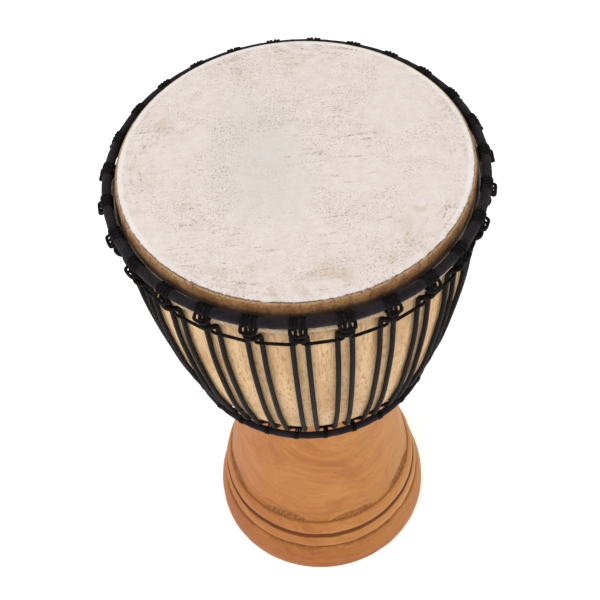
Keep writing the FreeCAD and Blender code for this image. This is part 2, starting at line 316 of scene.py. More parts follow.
def wood_material():
    """Pale dry wood on the bowl, oiled orange-brown wood on the foot, darker in the carving, with painted
    shade in its grooves and painted light and shade on the foot's two sides.
    """
    s = Shader("carved_wood", Specular_IOR_Level=0.22)
    x, y, z = s.parts(s.place)
    oiled = s.step(s.sum("ADD", z, s.sum("MULTIPLY", s.noise(s.place, 25), 0.008)), 0.316, 0.324, 1.0, 0.0)

    # bowl: short upright pores and soft vertical bands
    upright = s.stretch(s.place, (1, 1, 0.12))
    pores = s.step(s.noise(upright, 620, 3.0), 0.52, 0.66)
    bands = s.noise(upright, 70, 4.0, 0.6, 0.4)
    patches = s.noise(s.place, 14, 3.0)
    bowl = s.mix(s.step(bands, 0.3, 0.7), (0.620, 0.375, 0.185), (0.800, 0.545, 0.300))
    bowl = s.mix(s.step(patches, 0.35, 0.75, 0.0, 0.55), bowl, (0.860, 0.620, 0.365))
    bowl = s.mix(s.sum("MULTIPLY", pores, 0.60), bowl, (0.40, 0.185, 0.065))
    specks = s.step(s.noise(s.stretch(s.place, (1, 1, 0.5)), 420, 4.0, 0.7), 0.57, 0.68)
    bowl = s.mix(s.sum("MULTIPLY", specks, 0.50), bowl, (0.33, 0.14, 0.05))
    blots = s.step(s.noise(s.stretch(s.place, (1, 1, 0.45)), 60, 5.0, 0.65, 0.8), 0.54, 0.70)
    bowl = s.mix(s.sum("MULTIPLY", blots, 0.50), bowl, (0.560, 0.270, 0.105))
    slanted = s.noise(s.stretch(s.place, (1.0, 1.0, 0.10), (0, 0.55, 0)), 150, 5.0, 0.7, 0.6)
    cracks = s.step(slanted, 0.64, 0.70)
    bowl = s.mix(s.sum("MULTIPLY", cracks, 0.55), bowl, (0.24, 0.10, 0.04))

    # foot: soft growth rings, nested round a place high on the right of the front
    swirl = s.vector(s.sum("SUBTRACT", x, 0.030), s.sum("MULTIPLY", y, 0.25), s.sum("SUBTRACT", z, 0.280))
    distance = s.make("ShaderNodeVectorMath", {0: swirl}, operation="LENGTH").outputs["Value"]
    warp = s.noise(s.place, 7, 3.0, 0.55, 1.2)
    ring = s.sum("MULTIPLY_ADD", warp, 0.085, distance)
    wide = s.noise(s.vector(s.sum("MULTIPLY", ring, 75), s.sum("MULTIPLY", warp, 5.0), x), 1.0, 4.0, 0.6)
    line_places = s.vector(s.sum("MULTIPLY", ring, 420), s.sum("MULTIPLY", x, 26), s.sum("MULTIPLY", z, 26))
    lines = s.noise(line_places, 1.0, 3.0, 0.55)
    cloud = s.noise(s.place, 12, 4.0, 0.55, 1.0)
    foot = s.mix(s.step(wide, 0.30, 0.70), (0.485, 0.185, 0.052), (0.640, 0.300, 0.100))
    foot = s.mix(s.step(cloud, 0.38, 0.70, 0.0, 0.65), foot, (0.665, 0.335, 0.125))
    foot = s.mix(s.step(lines, 0.42, 0.72, 0.0, 0.42), foot, (0.400, 0.150, 0.045))
    # painted light and shade: the foot's left side is painted redder and its right side lighter, as light
    # falls on them
    left = s.step(x, -0.11, 0.06, 1.0, 0.0)
    foot = s.mix(s.sum("MULTIPLY", left, 0.30), foot, (0.585, 0.230, 0.098))
    right = s.step(x, 0.02, 0.11)
    foot = s.mix(s.sum("MULTIPLY", right, 0.35), foot, (0.740, 0.420, 0.180))
    dashes = s.noise(s.stretch(s.place, (1, 1, 1), (0, 0.5, 0.0)), 520, 3.0, 0.6)
    foot = s.mix(s.step(dashes, 0.54, 0.72, 0.0, 0.28), foot, (0.300, 0.105, 0.030))
    # painted shade: the carved grooves between the beads and under the flare are darkened
    foot = s.mix(s.sum("MULTIPLY", s.attribute("groove"), 0.92), foot, (0.170, 0.052, 0.015))
    hatch = s.noise(s.stretch(s.place, (1, 1, 0.35), (0, 0.5, 0)), 330, 3.0)
    facet_wood = s.mix(s.step(hatch, 0.40, 0.62), (0.250, 0.105, 0.038), (0.430, 0.205, 0.080))
    foot = s.mix(s.sum("MULTIPLY", s.attribute("facet"), 0.80), foot, facet_wood)

    foot = s.mix(1.0, foot, (0.87, 0.755, 0.55), "MULTIPLY")
    foot = s.mix(s.step(z, 0.036, 0.044, 0.75, 0.0), foot, s.mix(1.0, foot, (0.80, 0.68, 0.52), "MULTIPLY"))
    colour = s.mix(oiled, bowl, foot)
    inside = s.attribute("inside")
    colour = s.mix(s.sum("MULTIPLY", inside, 0.55), colour, (0.32, 0.17, 0.07))
    s.set("Base Color", colour)
    dry = s.step(z, 0.315, 0.33, 0.52, 0.64)
    s.set("Roughness", s.sum("MULTIPLY_ADD", s.step(bands, 0.3, 0.7), 0.10, dry))
    height = s.sum("ADD", s.sum("MULTIPLY", pores, -0.5), s.sum("MULTIPLY", lines, -0.35))
    s.bump(s.sum("MULTIPLY_ADD", dashes, -0.4, height), 0.0003, 0.55)
    return s.material


def skin_material():
    """Shaved white top with faint smudges and a painted highlight near the edge, a hairy rim line, and a
    golden unshaved side with a painted highlight along its top and painted shade toward the hoop.
    """
    s = Shader("goatskin", Specular_IOR_Level=0.25)
    radius, out = s.around()
    x, y, z = s.parts(s.place)
    ox, oy, _ = s.parts(out)
    grain = s.noise(s.place, 850, 2.0, 0.6)
    edge = s.step(radius, 0.080, 0.150)

    # ground: cream, warm outside and cooler left of the middle
    mottle = s.noise(s.place, 95, 8.0, 0.78, 0.3)
    top = s.mix(s.step(mottle, 0.36, 0.64), (0.790, 0.692, 0.640), (0.868, 0.784, 0.738))
    cool_place = s.vector(s.sum("ADD", x, 0.030), s.sum("MULTIPLY", y, 0.55), 0.0)
    cool_far = s.make("ShaderNodeVectorMath", {0: cool_place}, operation="LENGTH").outputs["Value"]
    cool = s.step(s.sum("MULTIPLY_ADD", s.noise(s.place, 16, 4.0), 0.06, cool_far), 0.045, 0.090, 0.55, 0.0)
    top = s.mix(cool, top, (0.700, 0.665, 0.630))
    warm = s.step(s.noise(s.place, 24, 5.0, 0.66, 0.8), 0.52, 0.70)
    top = s.mix(s.sum("MULTIPLY", s.sum("MULTIPLY", warm, edge), 0.48), top, (0.610, 0.455, 0.330))

    # fine specks, thicker in the smudges
    specks = s.step(s.noise(s.place, 560, 3.0, 0.7), 0.52, 0.65)
    smudge = s.step(s.noise(s.place, 19, 4.0, 0.6, 0.6), 0.44, 0.66, 0.18, 1.0)
    top = s.mix(s.sum("MULTIPLY", s.sum("MULTIPLY", specks, smudge), 0.70), top, (0.300, 0.205, 0.140))
    fleck = s.step(s.noise(s.place, 210, 5.0, 0.75), 0.57, 0.66)
    top = s.mix(s.sum("MULTIPLY", s.sum("MULTIPLY", fleck, smudge), 0.50), top, (0.400, 0.290, 0.205))

    # scraped strokes: along the circle near the edge, slanting over the middle
    across = s.sum("MULTIPLY", radius, 330)
    circle = s.vector(s.sum("MULTIPLY", ox, 7.0), s.sum("MULTIPLY", oy, 7.0), across)
    round_stroke = s.step(s.noise(circle, 1.0, 4.0, 0.62, 0.2), 0.53, 0.64)
    round_stroke = s.sum("MULTIPLY", round_stroke, s.step(radius, 0.110, 0.140))
    slant = s.noise(s.stretch(s.place, (38, 260, 1), (0, 0, 0.55)), 1.0, 4.0, 0.62, 0.3)
    slant = s.sum("MULTIPLY", s.step(slant, 0.55, 0.65), s.step(x, -0.03, 0.05, 0.25, 1.0))
    fall = s.noise(s.stretch(s.place, (50, 300, 1), (0, 0, -0.75)), 1.0, 4.0, 0.62, 0.3)
    fall = s.sum("MULTIPLY", s.step(fall, 0.56, 0.66), s.step(x, -0.02, 0.06, 0.8, 0.0))
    stroke = s.sum("MAXIMUM", round_stroke, s.sum("MAXIMUM", slant, fall))
    broken = s.step(s.noise(s.place, 330, 3.0, 0.7), 0.42, 0.62)
    where = s.step(s.noise(s.place, 15, 3.0, 0.55, 0.5), 0.42, 0.60)
    stroke = s.sum("MULTIPLY", s.sum("MULTIPLY", stroke, where), broken)
    top = s.mix(s.sum("MULTIPLY", stroke, 0.75), top, (0.270, 0.175, 0.115))
    # painted highlight: a pale ring where the flat top starts to round over the edge, fainter at the front
    rim_highlight = s.sum("MULTIPLY", s.step(radius, 0.1530, 0.1555), s.step(radius, 0.1580, 0.1592, 1.0, 0.0))
    rim_highlight = s.sum("MULTIPLY", rim_highlight, s.step(y, -0.14, -0.05, 0.10, 0.60))
    top = s.mix(rim_highlight, top, (0.930, 0.890, 0.850))

    # broken dark line of hair roots at the rim
    uneven = s.noise(s.vector(s.sum("MULTIPLY", ox, 26), s.sum("MULTIPLY", oy, 26), 0.0), 1.0, 4.0, 0.7)
    rim = s.sum("MULTIPLY_ADD", uneven, 0.0022, radius)
    hair = s.sum("MULTIPLY", s.step(rim, 0.1596, 0.1602), s.step(rim, 0.1606, 0.1613, 1.0, 0.0))
    front = s.step(y, -0.13, 0.02, 1.0, 0.35)
    hair = s.sum("MULTIPLY", hair, s.sum("MULTIPLY", front, s.step(uneven, 0.34, 0.56, 0.35, 1.0)))

    # side: golden brown, finely speckled with hair roots, with a painted highlight along its top and
    # painted shade darkening it toward the hoop
    blot = s.noise(s.place, 70, 5.0, 0.7, 0.5)
    speck = s.step(s.noise(s.place, 780, 3.0, 0.7), 0.52, 0.66)
    side = s.mix(s.step(blot, 0.34, 0.66), (0.235, 0.100, 0.034), (0.430, 0.225, 0.092))
    # painted highlight along the top of the side, where it turns over the edge
    side = s.mix(s.step(z, 0.5965, 0.5987, 0.0, 0.85), side, (0.620, 0.400, 0.220))
    side = s.mix(s.sum("MULTIPLY", speck, 0.75), side, (0.070, 0.030, 0.012))
    tuft = s.step(s.noise(s.stretch(s.place, (1, 1, 0.6)), 330, 5.0, 0.75), 0.52, 0.63)
    side = s.mix(s.sum("MULTIPLY", tuft, 0.60), side, (0.060, 0.026, 0.011))
    # painted shade from the hoop: the side turns near black toward it
    side = s.mix(s.step(z, 0.5850, 0.5925, 0.92, 0.0), side, (0.022, 0.012, 0.008))

    # rolled edge under the ring: bare, cream and rough
    rough = s.noise(s.place, 420, 4.0, 0.7)
    roll = s.mix(s.step(rough, 0.36, 0.66), (0.38, 0.25, 0.14), (0.68, 0.54, 0.39))
    roll = s.mix(s.sum("MULTIPLY", s.step(rough, 0.56, 0.68), 0.7), roll, (0.12, 0.07, 0.04))

    colour = s.mix(s.step(rim, 0.1600, 0.1609), top, side)
    colour = s.mix(s.sum("MULTIPLY", hair, 0.85), colour, (0.055, 0.036, 0.026))
    colour = s.mix(s.step(z, 0.5795, 0.5815, 1.0, 0.0), colour, roll)
    s.set("Base Color", colour)
    s.set("Roughness", s.step(mottle, 0.3, 0.7, 0.62, 0.78))
    height = s.sum("MULTIPLY_ADD", grain, 0.25, s.sum("MULTIPLY", mottle, 0.5))
    s.bump(s.sum("MULTIPLY_ADD", stroke, -0.5, height), 0.0003, 0.6)
    return s.material


def cloth_material():
    """Black cotton strip wound on a hoop: matt, with a fine weave and dusty high spots."""
    s = Shader("hoop_cloth", Specular_IOR_Level=0.12, Sheen_Weight=0.06, Sheen_Roughness=0.5)
    uv = s.make("ShaderNodeUVMap", uv_map="cord").outputs[0]
    weave_a = s.make("ShaderNodeTexWave", {"Vector": uv, "Scale": 3.2}, bands_direction="X").outputs["Fac"]
    weave_b = s.make("ShaderNodeTexWave", {"Vector": uv, "Scale": 3.2}, bands_direction="Y").outputs["Fac"]
    weave = s.sum("MULTIPLY", weave_a, weave_b)
    fold = s.noise(s.place, 70, 4.0, 0.6, 0.5)
    dust = s.step(s.noise(s.place, 330, 3.0, 0.65), 0.46, 0.76)
    colour = s.mix(s.step(fold, 0.35, 0.7), (0.0085, 0.0065, 0.0095), (0.0230, 0.0170, 0.0230))
    colour = s.mix(s.sum("MULTIPLY", dust, 0.30), colour, (0.050, 0.038, 0.040))
    s.set("Base Color", colour)
    s.set("Roughness", s.step(fold, 0.3, 0.7, 0.70, 0.88))
    s.bump(s.sum("MULTIPLY_ADD", weave, 0.35, fold), 0.0005, 0.7)
    return s.material


def braid_material(name, strands, pitch, dark, light, roughness):
    """Black braided cord: strands that pass over and under each other, on the cord's own UV, with painted
    shade in the hollows between them.
    """
    s = Shader(name, Specular_IOR_Level=0.06)
    u, v, _ = s.parts(s.make("ShaderNodeUVMap", uv_map="cord").outputs[0])
    across = s.sum("MULTIPLY", u, strands)
    up = s.sum("MULTIPLY_ADD", v, pitch, across)
    down = s.sum("MULTIPLY_ADD", v, -pitch, across)
    in_up = s.sum("FRACT", up)
    in_down = s.sum("FRACT", down)
    parity = s.sum("PINGPONG", s.sum("ADD", s.sum("FLOOR", up), s.sum("FLOOR", down)), 1.0)
    crest_up = s.sum("SINE", s.sum("MULTIPLY", in_up, math.pi))
    crest_down = s.sum("SINE", s.sum("MULTIPLY", in_down, math.pi))
    one = s.sum("MULTIPLY", crest_up, s.sum("MULTIPLY_ADD", crest_down, 0.4, 0.6))
    other = s.sum("MULTIPLY", crest_down, s.sum("MULTIPLY_ADD", crest_up, 0.4, 0.6))
    height = s.sum("ADD", s.sum("MULTIPLY", one, parity),
                   s.sum("MULTIPLY", other, s.sum("SUBTRACT", 1.0, parity)))
    fibres = s.noise(s.vector(s.sum("MULTIPLY", u, 46), s.sum("MULTIPLY", v, 5), 0.0), 1.0, 2.0)
    worn = s.noise(s.place, 190, 4.0, 0.7)
    # painted shade: the hollows between strands are darkened to 0.3 of the cord's colour
    colour = s.mix(s.step(height, 0.15, 0.95), (dark[0] * 0.3, dark[1] * 0.3, dark[2] * 0.3), dark)
    colour = s.mix(s.step(worn, 0.50, 0.72, 0.0, 0.75), colour, light)
    colour = s.mix(s.step(fibres, 0.55, 0.75, 0.0, 0.35), colour, light)
    s.set("Base Color", colour)
    s.set("Roughness", s.step(worn, 0.3, 0.7, roughness, roughness + 0.16))
    s.bump(s.sum("MULTIPLY_ADD", fibres, 0.35, height), 0.00045, 0.9)
    return s.material


def steel_material():
    s = Shader("hoop_steel", Metallic=1.0)
    scratch = s.noise(s.stretch(s.place, (1, 1, 6)), 160, 4.0, 0.7)
    rust = s.step(s.noise(s.place, 60, 5.0, 0.7), 0.55, 0.72)
    colour = s.mix(s.step(scratch, 0.3, 0.7), (0.26, 0.26, 0.27), (0.44, 0.44, 0.45))
    s.set("Base Color", s.mix(s.sum("MULTIPLY", rust, 0.6), colour, (0.16, 0.075, 0.035)))
    s.set("Roughness", s.step(scratch, 0.3, 0.7, 0.35, 0.6))
    s.bump(scratch, 0.0001, 0.4)
    return s.material


def hair_material():
    s = Shader("goat_hair", Specular_IOR_Level=0.4)
    tone = s.noise(s.place, 500, 2.0)
    s.set("Base Color", s.mix(s.step(tone, 0.4, 0.6), (0.035, 0.022, 0.015), (0.16, 0.09, 0.045)))
    s.set("Roughness", 0.55)
    return s.material


def floor_material():
    """A white studio sweep, lit a little from behind so that shadows on it stay faint."""
    s = Shader("floor", Specular_IOR_Level=0.05, Emission_Strength=0.42)
    s.set("Emission Color", (1.0, 1.0, 1.0, 1))
    s.set("Base Color", s.mix(s.noise(s.place, 3), (0.93, 0.93, 0.93), (0.95, 0.95, 0.95)))
    s.set("Roughness", 0.9)
    return s.material


# ---- mesh building --------------------------------------------------------------
def mesh_object(name, vertices, faces, material, uvs=None):
    """A smooth-shaded mesh in the scene; uvs has one (u, v) per face corner."""
    mesh = bpy.data.meshes.new(name)
    mesh.from_pydata(vertices, [], faces)
    mesh.polygons.foreach_set("use_smooth", [True] * len(mesh.polygons))
    if uvs is not None:
        layer = mesh.uv_layers.new(name="cord")
        layer.data.foreach_set("uv", np.asarray(uvs, dtype=np.float32).ravel())
    mesh.materials.append(material)
    mesh.validate()
    made = bpy.data.objects.new(name, mesh)
    bpy.context.scene.collection.objects.link(made)
    return made


def lathe(name, profile, segments, shape, material, marks=()):
    """A closed profile turned round the axis.

    profile is a list of (radius, height) in millimetres; a radius of 0 makes one shared
    point. shape(i, azimuth, radius, height) gives the point's own radius and height, and
    marks are (attribute name, function of the same arguments).
    """
    vertices = []
    values = [[] for _ in marks]
    rows = []
    for i, (radius, height) in enumerate(profile):
        count = 1 if radius == 0 else segments
        rows.append((len(vertices), count))
        for k in range(count):
            azimuth = 360.0 * k / segments
            r, z = shape(i, azimuth, radius, height)
            vertices.append(at(azimuth, r, 0, z))
            for list_, (_, function) in zip(values, marks):
                list_.append(function(i, azimuth, radius, height))
    faces = []
    for (low, low_count), (high, high_count) in zip(rows, rows[1:] + rows[:1]):
        if low_count == high_count == 1:
            continue
        for k in range(segments):
            n = (k + 1) % segments
            corners = [
                low + k % low_count, low + n % low_count,
                high + n % high_count, high + k % high_count,
            ]
            faces.append(list(dict.fromkeys(corners)))
    made = mesh_object(name, vertices, faces, material)
    for list_, (mark, _) in zip(values, marks):
        layer = made.data.attributes.new(mark, "FLOAT", "POINT")
        layer.data.foreach_set("value", list_)
    return made


def smooth_line(points):
    """Points along the NURBS line that has the route's points as its control points."""
    data = bpy.data.curves.new("route", "CURVE")
    data.dimensions = "3D"
    spline = data.splines.new("NURBS")
    spline.points.add(len(points) - 1)
    for knot, point in zip(spline.points, points):
        knot.co = (*point, 1.0)
    spline.order_u = 3
    spline.use_endpoint_u = True
    spline.resolution_u = 14
    holder = bpy.data.objects.new("route", data)
    bpy.context.scene.collection.objects.link(holder)
    mesh = bpy.data.meshes.new_from_object(holder)
    line = np.array([v.co for v in mesh.vertices])
    bpy.data.objects.remove(holder)
    bpy.data.curves.remove(data)
    bpy.data.meshes.remove(mesh)
    return line


def spaced(line, step, bend):
    """The line's points again, one for each step of length or bend in degrees of turn."""
    steps = np.diff(line, axis=0)
    lengths = np.linalg.norm(steps, axis=1)
    kept = np.append(lengths > 1e-9, True)
    line = line[kept]
    steps = np.diff(line, axis=0)
    lengths = np.linalg.norm(steps, axis=1)
    units = steps / lengths[:, None]
    turns = np.degrees(np.arccos(np.clip((units[1:] * units[:-1]).sum(1), -1, 1)))
    turns = np.append(np.append(0.0, turns), 0.0)
    cost = lengths / step + (turns[:-1] + turns[1:]) / 2 / bend
    total = np.append(0.0, np.cumsum(cost))
    wanted = np.linspace(0.0, total[-1], int(math.ceil(total[-1])) + 1)
    return np.column_stack([np.interp(wanted, total, line[:, axis]) for axis in range(3)])


def tube(name, lines, diameter, sides, material, braid=(0, 1.0, 0.0), taper=True):
    """Round cords along the lines, in one mesh, with braid = (lobes, pitch in mm, depth)."""
    lobes, pitch, depth = braid
    radius = diameter / 2 * MM
    angles = np.arange(sides) * 2 * math.pi / sides
    vertices = []
    faces = []
    uvs = []
    for line in lines:
        start = len(vertices)
        tangents = np.gradient(line, axis=0)
        tangents /= np.linalg.norm(tangents, axis=1)[:, None]
        travelled = np.append(0.0, np.cumsum(np.linalg.norm(np.diff(line, axis=0), axis=1)))
        normal = np.cross(tangents[0], (0.0, 0.0, 1.0) if abs(tangents[0][2]) < 0.9 else (1.0, 0.0, 0.0))
        last = len(line) - 1
        for i, (point, tangent, length) in enumerate(zip(line, tangents, travelled)):
            normal = normal - tangent * normal.dot(tangent)
            normal /= np.linalg.norm(normal)
            side = np.cross(tangent, normal)
            wave = np.cos(lobes * angles) * math.cos(2 * math.pi * length / (pitch * MM))
            size = radius * (1 + depth * wave)
            if taper and i in (0, last):
                size = size * 0.55
            ring = point + np.outer(np.cos(angles) * size, normal) + np.outer(np.sin(angles) * size, side)
            vertices.extend(map(tuple, ring))
        along = travelled / (2 * math.pi * radius)
        for i in range(last):
            a = start + i * sides
            b = a + sides
            for k in range(sides):
                n = (k + 1) % sides
                faces.append((a + k, a + n, b + n, b + k))
                u0, u1 = k / sides, (k + 1) / sides
                uvs.append(((u0, along[i]), (u1, along[i]), (u1, along[i + 1]), (u0, along[i + 1])))
        for row, turned in ((0, -1), (last, 1)):
            a = start + row * sides
            cap = [a + k for k in range(sides)][::turned]
            faces.append(cap)
            uvs.append([(0.5, along[row])] * sides)
    flat = [corner for face in uvs for corner in face]
    return mesh_object(name, vertices, faces, material, flat)


# ---- shell ----------------------------------------------------------------------
FACETS = {}
for groove, start in (("upper", -26.0), ("lower", -18.5)):
    FACETS[groove] = [
        (start + 45.0 * k + random.uniform(-2.5, 2.5), random.uniform(15.0, 18.5), random.uniform(0.8, 1.0))
        for k in range(8)
    ]


def facet(groove, azimuth):
    """How far a chisel facet reaches up from the bead below it at an azimuth, from 0 to 1."""
    for centre, half, size in FACETS[groove]:
        away = abs((azimuth - centre + 180.0) % 360.0 - 180.0)
        if away < half:
            return size * math.cos(math.pi / 2 * away / half) ** 0.7
    return 0.0


def shell_profile():
    """The shell's outline from the floor up the outside, over the edge and down the inside."""
    out = arc((FOOT_R - FOOT_EDGE, FOOT_EDGE), FOOT_EDGE, -90, 0, 5)
    out += through([(FOOT_R, FOOT_EDGE), RIM_BULGE, RIM_TOP], 26)[1:]
    out += run(RIM_TOP, LOWER_GROOVE, 6)
    out += run(LOWER_GROOVE, LOWER_BEAD[0], 6)
    out += through(LOWER_BEAD, 16)[1:]
    out += run(LOWER_BEAD[2], MIDDLE_GROOVE, 6)
    out += run(MIDDLE_GROOVE, UPPER_BEAD[0], 6)
    out += through(UPPER_BEAD, 18)[1:]
    out += through([UPPER_BEAD[2], UPPER_GROOVE, FLARE_FOOT], 20)[1:]
    rise = NECK_Z - FLARE_FOOT[1]
    reach = FLARE_FOOT[0] - NECK_R
    flare = (reach ** 2 + rise ** 2) / (2 * reach)
    sweep = math.degrees(math.asin(rise / flare))
    out += arc((NECK_R + flare, NECK_Z), flare, 180 + sweep, 180, 46)[1:]

    across = NECK_R + NECK_FILLET - BELLY_CENTRE[0]
    reach = BELLY_ARC + NECK_FILLET
    fillet = (NECK_R + NECK_FILLET, BELLY_CENTRE[1] - math.sqrt(reach ** 2 - across ** 2))
    lean = math.degrees(math.acos(across / reach))
    out += run(out[-1], (NECK_R, fillet[1]), 6)
    out += arc(fillet, NECK_FILLET, 180, 180 - lean, 9)[1:]
    out += arc(BELLY_CENTRE, BELLY_ARC, -lean, -TURN, 14)[1:]
    top = math.degrees(math.asin((EDGE_Z - BOWL_Z) / BOWL_ARC))
    out += arc(SIDE_CENTRE, BOWL_ARC, -TURN, top, 44)[1:]
    out += arc(EDGE_CENTRE, EDGE_ROUND, 12, 90, 6)
    outside = len(out)
    out += run(out[-1], (out[-1][0] - EDGE_FLAT, out[-1][1]), 2)
    out += run(out[-1], EDGE_CHAMFER, 4)
    out += run(out[-1], (BOWL_R - WALL, BOWL_Z), 4)
    out += arc(SIDE_CENTRE, BOWL_ARC - WALL, 0, -TURN, 16)[1:]
    out += arc(BELLY_CENTRE, BELLY_ARC - WALL, -TURN, -FLOOR_END, 12)[1:]
    out += through([out[-1], THROAT_LIP, (THROAT_R, THROAT_TOP)], 6)[1:]
    out += run(out[-1], (THROAT_R, THROAT_LOW), 3)
    out += run(out[-1], (MOUTH_R, 0.0), 26)
    out += run(out[-1], (FOOT_R - FOOT_EDGE, 0.0), 4)[:-1]
    return out, outside


PROFILE, OUTSIDE = shell_profile()


def make_shell(material):
    """The carved wooden shell."""
    def groove_shade(i, azimuth, radius, height):
        """Painted shade in the cuts between the beads, under the flare and at its edge."""
        if i >= OUTSIDE:
            return 0.0
        low, high = LOWER_BEAD[2][1], UPPER_BEAD[0][1]
        middle = smooth(height, low - 1.2, low + 0.6) * (1 - smooth(height, high - 0.4, high + 0.8))
        thin = math.exp(-((height - LOWER_GROOVE[1]) / 1.5) ** 2)
        lip = 0.8 * math.exp(-((height - UPPER_BEAD[2][1] - 0.8) / 0.9) ** 2)
        edge = 0.35 * math.exp(-((height - FLARE_FOOT[1] + 0.6) / 0.9) ** 2)
        return max(middle, thin, lip, edge)

    def cut(i, azimuth, radius, height):
        """1 on a facet left by the chisel."""
        if i >= OUTSIDE:
            return 0.0
        deep = 0.0
        for groove, bottom, tall in (("upper", UPPER_BEAD[2][1], 8.5), ("lower", RIM_TOP[1] + 1.0, 6.5)):
            reach = facet(groove, azimuth) * tall
            top = bottom + reach
            if reach > 1.0:
                inside = smooth(height, bottom - 0.8, bottom + 0.4) * (1 - smooth(height, top - 1.0, top))
                deep = max(deep, inside)
        return deep

    def shape(i, azimuth, radius, height):
        a = math.radians(azimuth)
        spot = Vector((math.sin(a) * radius, math.cos(a) * radius, height))
        if i >= OUTSIDE + 6:
            if height <= 0.0:
                return radius, height
            gouge = noise.noise(spot * 0.035) * 1.1 + noise.noise(spot * 0.11) * 0.5
            return radius + gouge - 0.4, height
        if height < 0.5 or i >= OUTSIDE or height > 330:
            return radius, height
        wave = noise.noise(Vector((math.sin(a) * 1.7, math.cos(a) * 1.7, height * 0.02)))
        fine = noise.noise(Vector((math.sin(a) * 9.0, math.cos(a) * 9.0, height * 0.06)))
        carved = 1 - smooth(height, 110.0, 150.0)
        sink = 0.35 + 0.35 * wave + carved * 0.35 * fine
        lift = carved * (0.9 * wave + 0.5 * fine) * smooth(height, 30.0, 42.0)
        sink += 1.1 * cut(i, azimuth, radius, height)
        return radius - max(sink, 0.0), height + lift

    def inside(i, azimuth, radius, height):
        return 1.0 if i >= OUTSIDE + 4 else 0.0

    made = lathe("carved_shell", PROFILE, 320, shape, material,
                 [("groove", groove_shade), ("facet", cut), ("inside", inside)])
    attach(made, "drum")
    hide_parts("shell")


# ---- skin -----------------------------------------------------------------------
def skin_profile():
    """The skin from its centre over the bearing edge, round the flesh hoop, and back inside."""
    outer = EDGE_ROUND + SKIN_FIT + SKIN
    inner = EDGE_ROUND + SKIN_FIT
    hoop = FLESH[:2]
    hook_in = FLESH[2] + CLEAR
    hook_out = hook_in + SKIN
    out = [(0, HEAD_TOP)] + run((0, HEAD_TOP), (EDGE_CENTRE[0], HEAD_TOP), 46)
    out += arc(EDGE_CENTRE, outer, 90, 0, 12)[1:]
    out += run(out[-1], on_circle(hoop, hook_in, 180), 10)
    out += arc(hoop, hook_in, 180, 435, 26)[1:]
    out += arc(hoop, hook_out, 435, 180, 30)
    out += run(out[-1], on_circle(EDGE_CENTRE, inner, 0), 4)
    out += arc(EDGE_CENTRE, inner, 0, 90, 6)[1:]
    out += run(out[-1], (2.0, HEAD_TOP - SKIN), 12)
    out.append((0, HEAD_TOP - SKIN))
    return out


def make_skin(material):
    """The goatskin head."""
    profile = skin_profile()
    hook_from = 1 + 46 + 12 + 10

    def shape(i, azimuth, radius, height):
        a = math.radians(azimuth)
        around = Vector((math.sin(a), math.cos(a), 0.0))
        if radius < 150.0:
            return radius, height
        pleat = noise.noise(around * 34.0 + Vector((0, 0, height * 0.03)))
        if 58 <= i < hook_from:
            return radius + min(0.0, 0.22 * pleat) + 0.03, height
        if hook_from + 30 <= i < hook_from + 56:
            rough = noise.noise(around * 60.0 + Vector((0, 0, height * 0.5)))
            return radius + 0.22 * rough + 0.12 * pleat, height + 0.28 * rough
        return radius, height

    made = lathe("skin_head", profile, 360, shape, material)
    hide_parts("goatskin_head")
    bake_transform(made)
    return made


def make_hairs(material):
    """Short hairs left along the rim by the shaving."""
    skin = EDGE_ROUND + SKIN_FIT + SKIN
    vertices = []
    faces = []
    for _ in range(1700):
        azimuth = random.gauss(0.0, 62.0) if random.random() < 0.72 else random.uniform(0.0, 360.0)
        angle = random.gauss(52.0, 7.0)
        r, z = on_circle(EDGE_CENTRE, skin, angle)
        foot = at(azimuth, r, 0, z - 0.05)
        lean = random.gauss(0.0, 1.0)
        length = random.uniform(0.8, 2.6)
        tip_angle = angle + random.uniform(-18.0, 12.0)
        tip_r, tip_z = on_circle(EDGE_CENTRE, skin + random.uniform(0.10, 0.35), tip_angle)
        tip = at(azimuth, tip_r, lean * length * 0.6, tip_z)
        thick = random.uniform(0.05, 0.10)
        start = len(vertices)
        for k in range(3):
            a = math.radians(120.0 * k)
            vertices.append(foot + at(azimuth, 0, math.cos(a) * thick, math.sin(a) * thick))
        vertices.append(tip)
        faces += [(start, start + 1, start + 3), (start + 1, start + 2, start + 3),
                  (start + 2, start, start + 3), (start, start + 2, start + 1)]
    made = mesh_object("rim_hairs", vertices, faces, material)
    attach(made, "drum")


# ---- hoops ----------------------------------------------------------------------
def make_cloth(name, node, hoop, body, rod, material, strip):
    """A thin cloth strip wound tight round a hoop, one turn overlapping the next."""
    radius, height, tube_radius = hoop
    turns = round(2 * math.pi * radius / strip)
    columns = turns * 30
    rows = 30
    vertices = []
    uvs = []
    faces = []
    for c in range(columns):
        azimuth = 360.0 * c / columns
        a = math.radians(azimuth)
        for k in range(rows):
            angle = 360.0 * k / rows
            lap = (c / columns * turns + k / rows) % 1.0
            edge = 1 - smooth(lap, 0.0, 0.10)
            spot = Vector((math.sin(a) * radius, math.cos(a) * radius, angle * 0.02))
            crease = noise.noise(spot * 0.16) * 0.6 + noise.noise(spot * 0.5) * 0.4
            size = rod + THIN_CLOTH + 0.24 * (1 - lap) - 0.16 * edge + 0.12 * crease
            size = min(max(size, rod + 0.10), tube_radius)
            r, z = on_circle((radius, height), size, angle)
            vertices.append(at(azimuth, r, 0, z))
    along = 2 * math.pi * radius / strip
    for c in range(columns):
        for k in range(rows):
            n, m = (c + 1) % columns, (k + 1) % rows
            faces.append((c * rows + k, n * rows + k, n * rows + m, c * rows + m))
            x0, x1 = c / columns * along * 4, (c + 1) / columns * along * 4
            y0, y1 = k / rows * 6, (k + 1) / rows * 6
            uvs += [(x0, y0), (x1, y0), (x1, y1), (x0, y1)]
    made = mesh_object(name, vertices, faces, material, uvs)
    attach(made, body)
    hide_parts(node)


